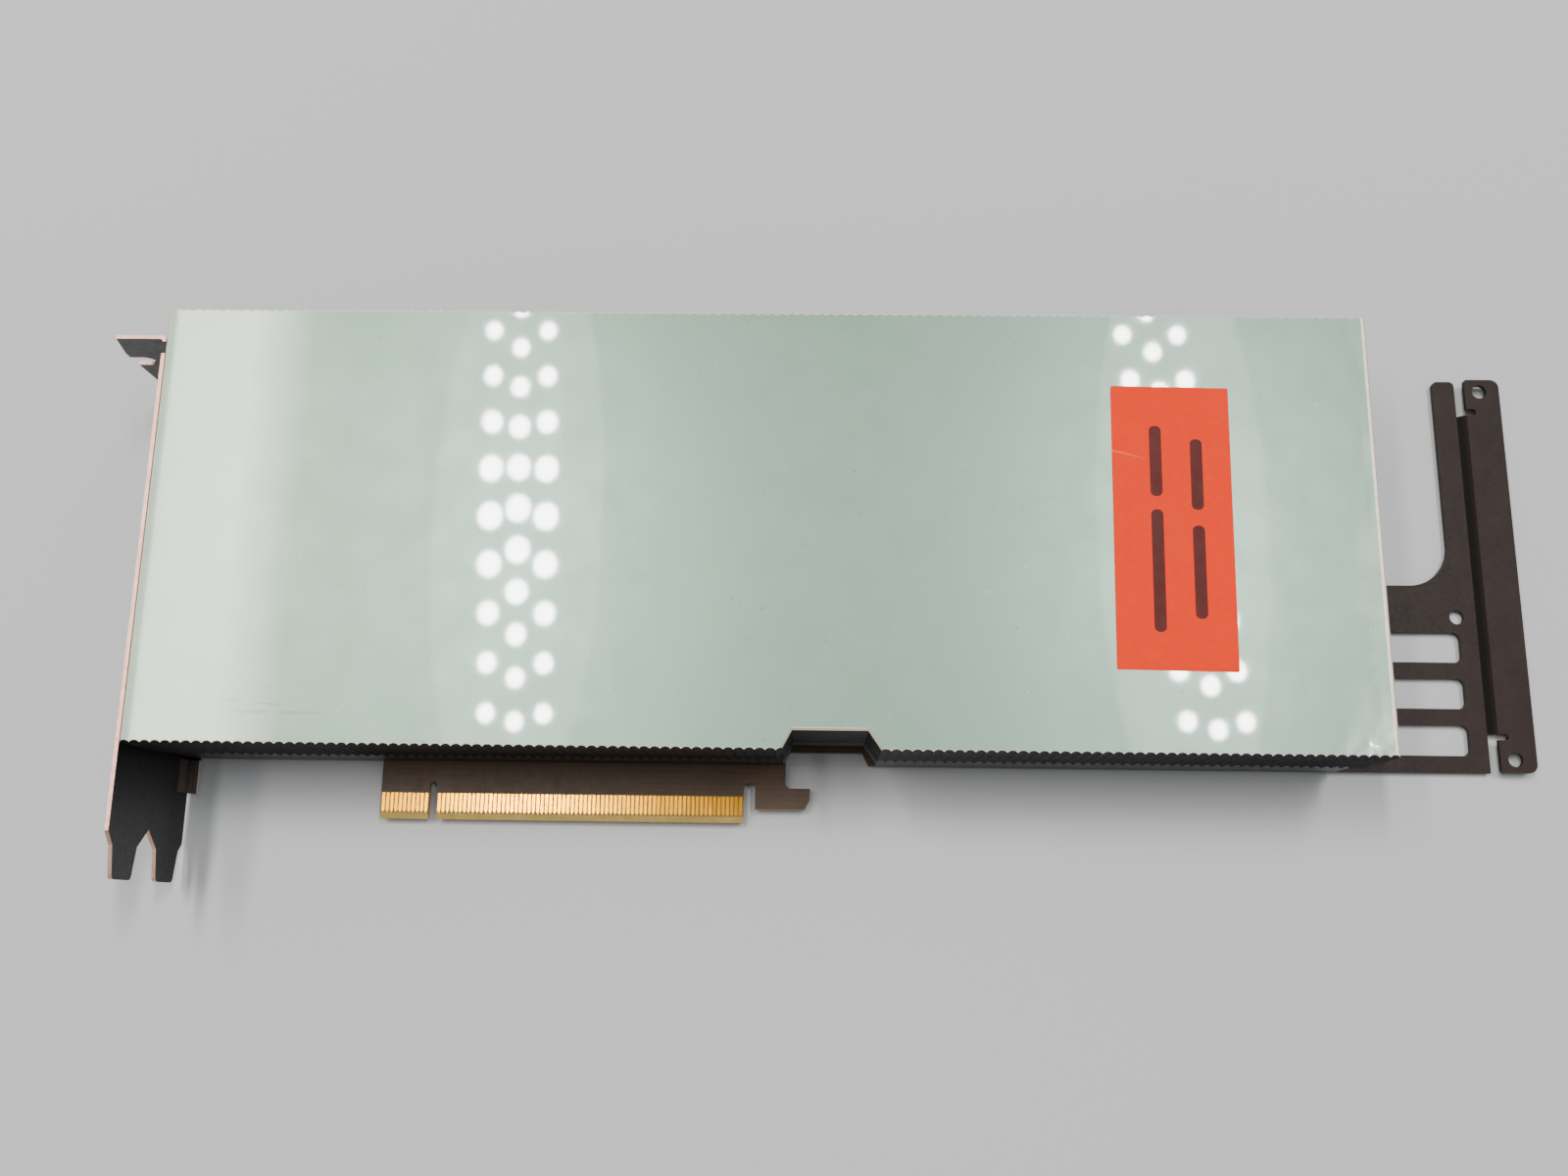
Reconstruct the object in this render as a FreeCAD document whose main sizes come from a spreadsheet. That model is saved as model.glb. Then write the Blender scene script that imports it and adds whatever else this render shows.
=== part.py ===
import FreeCAD, Part
import os
import re
import Sketcher
from FreeCAD import Vector

# A full-height, dual-slot accelerator card without a fan, 267 mm long, with its full-length extender.
# It lies on its backplate: X runs from the I/O bracket to the extender, Y from the edge connector to the
# flange of the bracket, and Z up through the cooler. Every size below is in millimetres. Places are counted
# from the datum of the edge connector: X from the middle of the key notch, Y from the lower end of the
# contact tongue, Z from the component side of the board. Each sub-part's Placement then shifts it so that
# the origin is the middle of the whole card, on the surface that it lies on.

SIZES = {
    # How far a cut runs past the edge that it opens
    "overcut": 1.0,
    # Cover: a black shroud with fluted long sides, open at both ends
    "key_to_cover": 58.3,
    "cover_length": 268.2,
    "cover_low": 13.0,
    "cover_width": 98.15,
    "cover_top": 34.7,
    "cover_wall": 2.0,
    "cover_roof": 2.0,
    "flute_pitch": 2.194,
    "flute_depth": 0.5,
    "flute_foot": 12.0,
    "edge_chamfer": 0.45,
    # Recess in the lower long side that clears the slot's latch
    "recess_left": 81.35,
    "recess_right": 102.5,
    "recess_depth": 4.25,
    "recess_lean_left": 2.25,
    "recess_lean_right": 2.9,
    # Film and label on the cover's face
    "film_thickness": 0.1,
    "film_margin": 0.7,
    "film_short": 1.0,
    "label_thickness": 0.1,
    "label_width": 25.7,
    "label_height": 63.3,
    "label_x": 165.2,
    "label_y": 62.3,
    "label_tilt": 0.8,
    # Circuit board
    "board_thickness": 1.57,
    "board_inset": 1.15,
    "tongue_left": 12.15,
    "tongue_right": 81.8,
    "contacts_right": 72.15,
    "tongue_corner": 0.8,
    "bevel_length": 1.3,
    "bevel_depth": 0.45,
    "key_width": 1.9,
    "key_depth": 8.5,
    "hook_gap": 2.65,
    "hook_gap_depth": 9.1,
    "hook_low": 3.15,
    "hook_high": 8.05,
    "hook_reach": 5.7,
    "hook_chamfer": 1.2,
    "hook_root": 1.2,
    "board_recess_depth": 2.95,
    "board_recess_lean": 1.4,
    # Contact pads
    "contact_pitch": 1.0,
    "contact_width": 0.7,
    "contact_low": 1.45,
    "contact_high": 5.95,
    "contact_thickness": 0.05,
    "key_to_contact": 1.5,
    "contacts_before_key": 11,
    "contacts_after_key": 71,
    # Heatsink frame
    "frame_roof": 3.0,
    "frame_end_wall": 2.0,
    "lip_gap": 0.1,
    "lip_wall": 1.4,
    "lip_height": 3.0,
    "post_side": 6.0,
    # Processor package
    "processor_x": 78.0,
    "substrate_side": 55.0,
    "substrate_thickness": 1.9,
    "stiffener_width": 3.5,
    "stiffener_thickness": 0.7,
    "die_width": 26.0,
    "die_height": 31.0,
    "die_thickness": 0.8,
    "memory_width": 10.0,
    "memory_height": 11.0,
    "memory_pitch": 11.5,
    "memory_gap": 0.3,
    "memory_rows": 3,
    "interface_thickness": 0.2,
    # Vapour chamber and fins
    "chamber_length": 116.0,
    "chamber_margin": 8.1,
    "chamber_gap": 0.5,
    "pedestal_side": 50.0,
    "fins_from_front": 9.1,
    "fins_from_rear": 19.6,
    "fins_side_gap": 0.25,
    "fins_base": 1.5,
    "fin_pitch": 2.6,
    "fin_thickness": 0.3,
    "fins_roof_gap": 0.5,
    # Power stages and other components
    "choke_side": 8.0,
    "choke_height": 4.0,
    "choke_column": 40.0,
    "choke_pitch": 9.2,
    "choke_rows": 7,
    "pad_thickness": 1.0,
    "pad_inset": 0.5,
    "stage_width": 5.0,
    "stage_height": 6.0,
    "stage_thickness": 0.8,
    "stage_column": 49.0,
    "input_choke_side": 11.0,
    "input_choke_gap": 0.2,
    "input_choke_inset": 36.6,
    "input_choke_pitch": 15.0,
    "input_choke_count": 3,
    "capacitor_side": 6.6,
    "capacitor_height": 2.8,
    "capacitor_inset": 52.6,
    "capacitor_pitch": 9.0,
    "capacitor_count": 7,
    "controller_side": 7.0,
    "controller_height": 0.9,
    "controller_x": 12.0,
    "controller_pitch": 18.0,
    "controller_count": 3,
    "manager_side": 17.0,
    "manager_height": 1.5,
    "manager_x": -18.0,
    # Rear power connector
    "power_length": 12.8,
    "power_width": 18.4,
    "power_height": 9.6,
    "power_inset": 19.5,
    "power_overhang": 0.5,
    "power_pitch": 4.2,
    "power_poles": 4,
    "power_cavity": 3.3,
    "power_cavity_depth": 10.0,
    "power_pin": 1.1,
    "power_pin_length": 7.0,
    "power_clearance": 0.8,
    "latch_setback": 1.2,
    "latch_length": 3.4,
    "latch_width": 4.6,
    "latch_height": 1.3,
    # Backplate and the sheet under the board
    "backplate_thickness": 1.0,
    "backplate_gap": 1.1,
    "backplate_rim": 9.0,
    "backplate_front": 9.1,
    "backplate_margin": 1.0,
    "backplate_to_extender": 1.5,
    "insulator_thickness": 0.25,
    "insulator_gap": 0.5,
    "head_recess": 5.6,
    # Screws
    "screw_diameter": 2.5,
    "screw_clearance": 0.3,
    "head_diameter": 5.0,
    "head_height": 0.9,
    "screw_depth": 6.5,
    # I/O bracket
    "bracket_gap": 0.0,
    "bracket_thickness": 0.86,
    "bracket_under": 1.65,
    "bracket_over": 34.5,
    "bracket_length": 120.02,
    "bracket_shoulder": 5.4,
    "bracket_foot": 6.4,
    "tongue_tip": 15.3,
    "tongue_inset": 2.4,
    "tongue_width": 11.4,
    "tongue_pitch": 20.6,
    "tongue_taper": 1.4,
    "tongue_root": 8.2,
    "tongue_end_corner": 1.2,
    "vee_apex": 4.2,
    "bend_radius": 0.6,
    "bend_relief": 2.8,
    "bend_relief_depth": 2.0,
    "flange_reach": 10.65,
    "flange_nose": 1.9,
    "notch_width": 4.42,
    "notch_depth": 3.2,
    "notch_height": 21.1,
    "slot_pitch": 20.32,
    "ear_low": 5.3,
    "ear_inset": 10.5,
    "ear_reach": 2.1,
    "lug_reach": 8.0,
    "lug_width": 12.0,
    "lug_low": 34.0,
    "lug_inset": 20.5,
    "lug_corner": 2.0,
    "lug_hole_inset": 3.4,
    "vent_margin": 6.0,
    "vent_width": 4.5,
    "vent_pitch": 7.5,
    "vent_height": 13.0,
    "vent_middle": 17.0,
    "vent_web": 3.4,
    # Extender bracket
    "extender_thickness": 1.2,
    "extender_lap": 10.6,
    "extender_inset_low": 0.2,
    "extender_inset_high": 0.75,
    "extender_bend": 36.35,
    "extender_jog": 1.8,
    "extender_jog_height": 1.57,
    "extender_strip": 8.35,
    "extender_corner": 2.0,
    "arm_width": 5.3,
    "sheet_corner": 1.2,
    "window_low": 44.52,
    "window_corner": 10.0,
    "relief_low": 9.1,
    "relief_width": 1.5,
    "relief_reach": 2.3,
    "relief_corner": 0.7,
    "slot_low": 3.95,
    "slot_height": 7.2,
    "slot_step": 11.0,
    "slot_length": 29.0,
    "slot_inset": 4.15,
    "slot_corner": 1.8,
    "hole_diameter": 3.4,
    "strip_hole_inset": 4.85,
    "strip_hole_edge": 3.1,
    "arm_hole_x": 4.5,
    "arm_hole_y": 36.9,
    "extender_screw_inset": 5.1,
    "extender_screw_low": 30.0,
    "extender_screw_high": 52.0,
}

# Places that follow from the sizes
PLACES = {
    "cover_front": "-key_to_cover",
    "cover_rear": "cover_length - key_to_cover",
    "cover_high": "cover_low + cover_width",
    "flute_count": "round(cover_length / flute_pitch)",
    "flute_step": "cover_length / flute_count",
    "flute_radius": "flute_step ^ 2 / (8 * flute_depth) + flute_depth / 2",
    "ceiling": "cover_top - cover_roof",
    "board_low": "cover_low + flute_depth",
    "board_high": "cover_high - flute_depth",
    "board_front": "cover_front + board_inset",
    "board_rear": "cover_rear - board_inset",
    "hook_tip": "tongue_right + hook_reach",
    "frame_low": "choke_height + pad_thickness",
    "frame_top": "frame_low + frame_roof",
    "rail_low": "cover_low + cover_wall + lip_gap + lip_wall",
    "rail_high": "cover_high - cover_wall - lip_gap - lip_wall",
    "rail_recess": "rail_low + recess_depth",
    "row_low": "board_low + backplate_margin + backplate_rim / 2",
    "row_high": "board_high - backplate_margin - backplate_rim / 2",
    "screw_front": "backplate_left + backplate_rim / 2",
    "screw_rear": "backplate_right - backplate_rim / 2",
    "fins_front": "cover_front + fins_from_front",
    "fins_rear": "cover_rear - fins_from_rear",
    "fins_low": "rail_recess + fins_side_gap",
    "fins_high": "rail_high - fins_side_gap",
    "fins_count": "round((fins_high - fins_low) / fin_pitch)",
    "processor_y": "(fins_low + fins_high) / 2",
    "chamber_left": "processor_x - chamber_length / 2",
    "chamber_right": "processor_x + chamber_length / 2",
    "chamber_low": "fins_low + chamber_margin",
    "chamber_high": "fins_high - chamber_margin",
    "die_low": "substrate_thickness",
    "die_top": "substrate_thickness + die_thickness",
    "interface_top": "die_top + interface_thickness",
    "memory_inner": "die_width / 2 + memory_gap",
    "memory_span": "(memory_rows - 1) * memory_pitch",
    "choke_span": "(choke_rows - 1) * choke_pitch",
    "input_choke_span": "(input_choke_count - 1) * input_choke_pitch",
    "capacitor_span": "(capacitor_count - 1) * capacitor_pitch",
    "controller_span": "(controller_count - 1) * controller_pitch",
    "power_rear": "board_rear + power_overhang",
    "power_front": "power_rear - power_length",
    "power_y": "rail_high - power_inset",
    "power_low": "power_y - power_width / 2",
    "power_high": "power_y + power_width / 2",
    "power_span": "(power_poles - 1) * power_pitch",
    "backplate_low": "-board_thickness - backplate_gap - backplate_thickness",
    "backplate_top": "-board_thickness - backplate_gap",
    "backplate_left": "cover_front + backplate_front",
    "backplate_right": "extender_front - backplate_to_extender",
    "head_seat": "-board_thickness - backplate_thickness",
    "bore_clear": "screw_diameter + screw_clearance",
    "bracket_inner": "cover_front - bracket_gap",
    "bracket_outer": "bracket_inner - bracket_thickness",
    "flange_top": "bracket_length - tongue_tip",
    "flange_end": "bracket_outer - flange_reach",
    "flange_tip": "flange_end - flange_nose",
    "bend_outer": "bend_radius + bracket_thickness",
    "bend_end": "flange_top - bend_outer",
    "nose_high": "notch_height + notch_width",
    "tongue_high": "bracket_over - tongue_inset",
    "ear_top": "-board_thickness",
    "ear_under": "-board_thickness - bracket_thickness",
    "ear_high": "board_high - ear_inset",
    "lug_high": "board_high - lug_inset",
    "lug_end": "bracket_inner + lug_reach",
    "lug_hole": "lug_end - lug_hole_inset",
    "vent_count": "floor((cover_width - 2 * vent_margin) / vent_pitch)",
    "vent_span": "(vent_count - 1) * vent_pitch",
    "vent_first": "cover_low + (cover_width - vent_span - vent_width) / 2",
    "extender_low": "board_low + extender_inset_low",
    "extender_high": "board_high - extender_inset_high",
    "extender_front": "board_rear - extender_lap",
    "extender_fold": "board_rear + extender_bend",
    "strip_front": "extender_fold + extender_jog",
    "extender_rear": "strip_front + extender_strip",
    "extender_top": "-board_thickness",
    "extender_under": "-board_thickness - extender_thickness",
    "strip_top": "extender_top + extender_jog_height",
    "strip_under": "strip_top - extender_thickness",
    "window_edge": "extender_low + window_low",
    "arm_left": "extender_fold - arm_width",
    "jog_low": "extender_low + relief_low",
    "jog_high": "extender_high - relief_low",
    "hook_end": "strip_front + relief_reach",
    "extender_screw_x": "extender_front + extender_screw_inset",
    "centre_x": "-(flange_tip + extender_rear) / 2",
    "centre_y": "-(cover_high - tongue_tip) / 2",
    "centre_z": "board_thickness + backplate_gap + backplate_thickness",
}

SIZE_NAMES = re.compile(r"\b(" + "|".join(SIZES) + r")\b")
PLACE_NAMES = re.compile(r"\b(" + "|".join(PLACES) + r")\b")
AXES_OF_PLANE = {"XY": (0, 1), "XZ": (0, 2), "YZ": (1, 2)}


def rule(text):
    """An expression for the document, from one written with the names of sizes and places."""
    while PLACE_NAMES.search(text):
        text = PLACE_NAMES.sub(lambda found: "(" + PLACES[found.group(1)] + ")", text)
    return SIZE_NAMES.sub(r"sizes.\1", text)


def box(left, low, right, high):
    """The corners of a rectangle."""
    return [(left, low), (right, low), (right, high), (left, high)]


def square(x, y, side):
    """The corners of a square about its middle."""
    half = f"({side}) / 2"
    return box(f"{x} - {half}", f"{y} - {half}", f"{x} + {half}", f"{y} + {half}")


class Piece:
    """One sub-part: a body whose sketches and features are bound to the sheet of sizes."""

    def __init__(self, name):
        self.body = doc.addObject("PartDesign::Body", name)
        self.body.Label = name
        self.serial = 0
        for axis in "xyz":
            self.body.setExpression("Placement.Base." + axis, rule("centre_" + axis))

    def feature(self, kind):
        """A new feature at the body's tip, under a name of its own."""
        self.serial += 1
        return self.body.newObject(kind, f"{self.body.Name}_{self.serial}")

    def origin(self, role):
        return next(item for item in self.body.Origin.OriginFeatures if item.Role == role)

    def sketch(self, plane, level, outlines, circles):
        """A sketch on an origin plane at a level along its axis, with every point bound."""
        sketch = self.feature("Sketcher::SketchObject")
        sketch.AttachmentSupport = [(self.origin(plane + "_Plane"), "")]
        sketch.MapMode = "FlatFace"
        away = f"-({level})" if plane == "XZ" else level
        sketch.setExpression(".AttachmentOffset.Base.z", rule(away))
        for points in outlines:
            self.draw_outline(sketch, points)
        for x, y, diameter in circles:
            self.draw_circle(sketch, x, y, diameter)
        return sketch

    def bind(self, sketch, constraint, expression):
        name = f"bound{sketch.ConstraintCount}"
        sketch.renameConstraint(sketch.addConstraint(constraint), name)
        sketch.setExpression("Constraints." + name, rule(expression))

    def draw_outline(self, sketch, points):
        first = sketch.GeometryCount
        count = len(points)
        for index in range(count):
            start = Vector(index, index * index, 0)
            end = Vector(index + 1, (index + 1) ** 2, 0)
            sketch.addGeometry(Part.LineSegment(start, end), False)
        for index in range(count):
            follower = first + (index + 1) % count
            sketch.addConstraint(Sketcher.Constraint("Coincident", first + index, 2, follower, 1))
        for index, place in enumerate(points):
            for kind, expression in zip(("DistanceX", "DistanceY"), place):
                corner = Sketcher.Constraint(kind, -1, 1, first + index, 1, 1.0 + index)
                self.bind(sketch, corner, expression)

    def draw_circle(self, sketch, x, y, diameter):
        number = sketch.addGeometry(Part.Circle(Vector(1, 1, 0), Vector(0, 0, 1), 1), False)
        self.bind(sketch, Sketcher.Constraint("Diameter", number, 2.0), diameter)
        for kind, expression in (("DistanceX", x), ("DistanceY", y)):
            self.bind(sketch, Sketcher.Constraint(kind, -1, 1, number, 3, 1.0), expression)

    def extrude(self, kind, low, high, outlines, circles, plane):
        self.plane = plane
        self.profile = self.sketch(plane, low, outlines, circles)
        self.solid = self.feature("PartDesign::" + kind)
        self.solid.Profile = self.profile
        self.solid.setExpression("Length", rule(f"{high} - ({low})"))
        self.solid.Reversed = (kind == "Pocket") != (plane == "XZ")
        doc.recompute()

    def pad(self, low, high, outlines=(), circles=(), plane="XY"):
        """Adds the outlines' prisms between two levels along the axis across the plane."""
        self.extrude("Pad", low, high, outlines, circles, plane)

    def pocket(self, low, high, outlines=(), circles=(), plane="XY"):
        """Cuts the outlines' prisms between two levels along the axis across the plane."""
        self.extrude("Pocket", low, high, outlines, circles, plane)

    def row(self, axis, count, length):
        """Repeats the last pad or pocket along an axis, the first and last a length apart."""
        pattern = self.feature("PartDesign::LinearPattern")
        pattern.Originals = [self.solid]
        pattern.Direction = (self.origin(axis + "_Axis"), [""])
        pattern.setExpression("Length", rule(length))
        pattern.setExpression("Occurrences", rule(count))
        self.body.Tip = pattern
        doc.recompute()

    def dress(self, kind, size, names):
        """A fillet or chamfer on the tip's named edges."""
        tip = self.body.Tip
        dressing = self.feature("PartDesign::" + kind)
        dressing.Base = (tip, names)
        dressing.setExpression("Radius" if kind == "Fillet" else "Size", rule(size))
        self.body.Tip = dressing
        doc.recompute()

    def round_corners(self, size, corners):
        """Rounds the edges that stand on numbered corners of the last sketch."""
        first, second = AXES_OF_PLANE[self.plane]
        places = [self.profile.getPoint(corner, 1) for corner in corners]
        names = []
        for number, edge in enumerate(self.body.Tip.Shape.Edges, 1):
            ends = [vertex.Point for vertex in edge.Vertexes]
            for place in places:
                offsets = [abs(end[first] - place.x) + abs(end[second] - place.y) for end in ends]
                if len(ends) == 2 and max(offsets) < 0.001:
                    names.append(f"Edge{number}")
        self.dress("Fillet", size, names)

    def chamfer_top(self, size, sides):
        """Chamfers the upper edges along sides, each a pair of numbered corners of the last sketch."""
        shape = self.body.Tip.Shape
        top = shape.BoundBox.ZMax
        middles = []
        for start, end in sides:
            middle = (self.profile.getPoint(start, 1) + self.profile.getPoint(end, 1)) / 2
            middles.append(Vector(middle.x, middle.y, top))
        names = [f"Edge{number}" for number, edge in enumerate(shape.Edges, 1)
                 if min(edge.CenterOfMass.distanceToPoint(middle) for middle in middles) < 0.001]
        self.dress("Chamfer", size, names)


def recessed(front, low, rear, high, recess_front, recess_rear, recess_top, lean_front, lean_rear):
    """A rectangle with the latch recess in its lower side."""
    return [(front, low), (recess_front, low), (f"{recess_front} + {lean_front}", recess_top),
            (f"{recess_rear} - {lean_rear}", recess_top), (recess_rear, low), (rear, low),
            (rear, high), (front, high)]


def cover_outline(inset):
    """The cover's outline with the recess, drawn in by an inset on its long sides."""
    return recessed("cover_front", f"cover_low + {inset}", "cover_rear", f"cover_high - {inset}",
                    "recess_left", "recess_right", f"cover_low + recess_depth + {inset}",
                    "recess_lean_left", "recess_lean_right")


def boxed_recess(front, rear, inset):
    """A rectangle inside the walls whose recess has square sides, an inset away from the recess itself."""
    return recessed(front, f"cover_low + {inset}", rear, f"cover_high - ({inset})",
                    f"recess_left - ({inset})", f"recess_right + {inset}",
                    f"cover_low + recess_depth + {inset}", "0", "0")


def make_cover():
    cover = Piece("cover")
    cover.pad("flute_foot", "cover_top", [cover_outline("0")])
    cover.chamfer_top("edge_chamfer", [(1, 2), (2, 3), (3, 4), (5, 6), (7, 0)])
    inside = boxed_recess("cover_front - overcut", "cover_rear + overcut", "cover_wall")
    cover.pocket("flute_foot", "ceiling", [inside])
    first = "cover_front + flute_step / 2"
    cover.pocket("flute_foot", "cover_top", circles=[
        (first, "cover_low + flute_depth - flute_radius", "2 * flute_radius"),
        (first, "cover_high - flute_depth + flute_radius", "2 * flute_radius")])
    cover.row("X", "flute_count", "cover_length - flute_step")
    return cover


def make_film():
    film = Piece("protective_film")
    film.pad("cover_top", "cover_top + film_thickness", [recessed(
        "cover_front + film_margin", "cover_low + film_margin", "cover_rear - film_short",
        "cover_high - film_margin", "recess_left", "recess_right",
        "cover_low + recess_depth + film_margin", "recess_lean_left", "recess_lean_right")])
    return film


def make_label():
    label = Piece("film_label")
    corners = []
    for across, along in ((-1, -1), (1, -1), (1, 1), (-1, 1)):
        x = f"{across} * label_width / 2"
        y = f"{along} * label_height / 2"
        corners.append((f"label_x + {x} * cos(label_tilt) + {y} * sin(label_tilt)",
                        f"label_y + {y} * cos(label_tilt) - {x} * sin(label_tilt)"))
    low = "cover_top + film_thickness"
    label.pad(low, f"{low} + label_thickness", [corners])
    return label


def frame_screw_places():
    return [(x, y) for x in ("screw_front", "screw_rear") for y in ("row_low", "row_high")]


def bracket_screw_places():
    return [("lug_hole", "lug_low"), ("lug_hole", "lug_high")]


def extender_screw_places():
    return [("extender_screw_x", "extender_screw_low"), ("extender_screw_x", "extender_screw_high")]


def rounds(places, diameter):
    """Circles of one diameter at the given places."""
    return [(x, y, diameter) for x, y in places]


def make_board():
    board = Piece("circuit_board")
    edge = "board_low + board_recess_depth"
    outline = [("board_front", "board_low"), ("-tongue_left", "board_low"), ("-tongue_left", "0"),
               ("contacts_right", "0"), ("contacts_right", "hook_low"),
               ("hook_tip - hook_chamfer", "hook_low"), ("hook_tip", "hook_low + 2 * hook_chamfer"),
               ("hook_tip", "hook_high"),
               ("tongue_right", "hook_high"), ("tongue_right", edge),
               ("recess_right - recess_lean_right", edge),
               ("recess_right - recess_lean_right + board_recess_lean", "board_low"),
               ("board_rear", "board_low"), ("board_rear", "board_high"), ("board_front", "board_high")]
    board.pad("-board_thickness", "0", [outline])
    board.round_corners("tongue_corner", [2, 3])
    board.round_corners("hook_root", [8])
    bevels = []
    for face, depth in (("0", "-bevel_depth"), ("-board_thickness", "-board_thickness + bevel_depth")):
        bevels.append([("0", face), ("bevel_length", face), ("0", depth)])
    board.pocket("-tongue_left", "contacts_right", bevels, plane="YZ")
    key_top = "key_depth - key_width / 2"
    gap_top = "hook_gap_depth - hook_gap / 2"
    gap_middle = "contacts_right + hook_gap / 2"
    board.pocket("-board_thickness", "0", [
        box("-key_width / 2", "-overcut", "key_width / 2", key_top),
        box("contacts_right", "-overcut", "contacts_right + hook_gap", gap_top)])
    ends = [("0", key_top, "key_width"), (gap_middle, gap_top, "hook_gap")]
    board.pocket("-board_thickness", "0", circles=ends)
    screwed = frame_screw_places() + bracket_screw_places() + extender_screw_places()
    board.pocket("-board_thickness", "0", circles=rounds(screwed, "bore_clear"))
    return board


def make_contacts(name, low, high):
    """The row of contact pads on one side of the tongue, on both sides of the key notch."""
    pads = Piece(name)
    first = "-key_to_contact - (contacts_before_key - 1) * contact_pitch"
    half = "contact_width / 2"
    for start, count in ((first, "contacts_before_key"), ("key_to_contact", "contacts_after_key")):
        pads.pad(low, high, [box(f"{start} - {half}", "contact_low", f"{start} + {half}", "contact_high")])
        pads.row("X", count, f"({count} - 1) * contact_pitch")
    return pads


def make_frame():
    frame = Piece("heatsink_frame")
    frame.pad("0", "flute_foot", [recessed(
        "board_front", "board_low", "board_rear", "board_high", "recess_left", "recess_right",
        "board_low + recess_depth", "recess_lean_left", "recess_lean_right")])
    lip = "cover_wall + lip_gap"
    frame.pad("flute_foot", "flute_foot + lip_height", [boxed_recess("fins_front", "fins_rear", lip)])
    inside = f"{lip} + lip_wall"
    frame.pocket("frame_top", "flute_foot + lip_height", [boxed_recess("cover_front", "cover_rear", inside)])
    frame.pocket("0", "frame_low", [boxed_recess(
        "board_front + frame_end_wall", "board_rear - frame_end_wall", inside)])
    window = box("chamber_left - chamber_gap", "chamber_low - chamber_gap",
                 "chamber_right + chamber_gap", "chamber_high + chamber_gap")
    frame.pocket("frame_low", "frame_top", [window])
    frame.pocket("0", "frame_top", [box("power_front - power_clearance", "power_low - power_clearance",
                                        "board_rear + overcut", "power_high + power_clearance")])
    screwed = frame_screw_places() + bracket_screw_places() + extender_screw_places()
    frame.pad("0", "frame_low", [square(x, y, "post_side") for x, y in screwed])
    frame.pocket("0", "screw_depth", circles=rounds(screwed, "screw_diameter"))
    return frame


def make_substrate():
    substrate = Piece("package_substrate")
    substrate.pad("0", "substrate_thickness", [square("processor_x", "processor_y", "substrate_side")])
    return substrate


def make_stiffener():
    ring = Piece("package_stiffener")
    ring.pad("die_low", "die_low + stiffener_thickness", [
        square("processor_x", "processor_y", "substrate_side"),
        square("processor_x", "processor_y", "substrate_side - 2 * stiffener_width")])
    return ring


def make_die():
    die = Piece("processor_die")
    die.pad("die_low", "die_top", [box(
        "processor_x - die_width / 2", "processor_y - die_height / 2",
        "processor_x + die_width / 2", "processor_y + die_height / 2")])
    return die


def make_memory():
    memory = Piece("memory_stacks")
    low = "processor_y - memory_span / 2 - memory_height / 2"
    high = f"{low} + memory_height"
    memory.pad("die_low", "die_top", [
        box("processor_x - memory_inner - memory_width", low, "processor_x - memory_inner", high),
        box("processor_x + memory_inner", low, "processor_x + memory_inner + memory_width", high)])
    memory.row("Y", "memory_rows", "memory_span")
    return memory


def make_interface():
    paste = Piece("thermal_interface")
    paste.pad("die_top", "interface_top", [box(
        "processor_x - memory_inner - memory_width", "processor_y - memory_span / 2 - memory_height / 2",
        "processor_x + memory_inner + memory_width", "processor_y + memory_span / 2 + memory_height / 2")])
    return paste


def make_chamber():
    chamber = Piece("vapour_chamber")
    chamber.pad("frame_low", "frame_top", [
        box("chamber_left", "chamber_low", "chamber_right", "chamber_high")])
    chamber.pad("interface_top", "frame_low", [square("processor_x", "processor_y", "pedestal_side")])
    return chamber


def make_fins():
    fins = Piece("fin_stack")
    base = "frame_top + fins_base"
    fins.pad("frame_top", base, [box("fins_front", "fins_low", "fins_rear", "fins_high")])
    fins.pad(base, "ceiling - fins_roof_gap", [
        box("fins_front", "fins_low", "fins_rear", "fins_low + fin_thickness")])
    fins.row("Y", "fins_count + 1", "fins_high - fins_low - fin_thickness")
    return fins


def make_chokes():
    chokes = Piece("power_chokes")
    start = "processor_y - choke_span / 2"
    chokes.pad("0", "choke_height", [square("processor_x - choke_column", start, "choke_side"),
                                     square("processor_x + choke_column", start, "choke_side")])
    chokes.row("Y", "choke_rows", "choke_span")
    return chokes


def make_choke_pads():
    pads = Piece("thermal_pads")
    half = "choke_side / 2 - pad_inset"
    low = "processor_y - choke_span / 2 - choke_side / 2"
    high = "processor_y + choke_span / 2 + choke_side / 2"
    pads.pad("choke_height", "frame_low", [
        box(f"processor_x - choke_column - ({half})", low, f"processor_x - choke_column + {half}", high),
        box(f"processor_x + choke_column - ({half})", low, f"processor_x + choke_column + {half}", high)])
    return pads


def make_stages():
    stages = Piece("power_stages")
    low = "processor_y - choke_span / 2 - stage_height / 2"
    outlines = []
    for sign in "-+":
        middle = f"processor_x {sign} stage_column"
        outlines.append(box(f"{middle} - stage_width / 2", low,
                            f"{middle} + stage_width / 2", f"{low} + stage_height"))
    stages.pad("0", "stage_thickness", outlines)
    stages.row("Y", "choke_rows", "choke_span")
    return stages


def make_input_chokes():
    chokes = Piece("input_chokes")
    start = "processor_y - input_choke_span / 2"
    chokes.pad("0", "frame_low - input_choke_gap", [
        square("board_rear - input_choke_inset", start, "input_choke_side")])
    chokes.row("Y", "input_choke_count", "input_choke_span")
    return chokes


def make_capacitors():
    cans = Piece("polymer_capacitors")
    start = "processor_y - capacitor_span / 2"
    cans.pad("0", "capacitor_height", [square("board_rear - capacitor_inset", start, "capacitor_side")])
    cans.row("Y", "capacitor_count", "capacitor_span")
    return cans


def make_controllers():
    chips = Piece("controller_chips")
    start = "processor_y - controller_span / 2"
    chips.pad("0", "controller_height", [square("controller_x", start, "controller_side")])
    chips.row("Y", "controller_count", "controller_span")
    return chips


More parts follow.
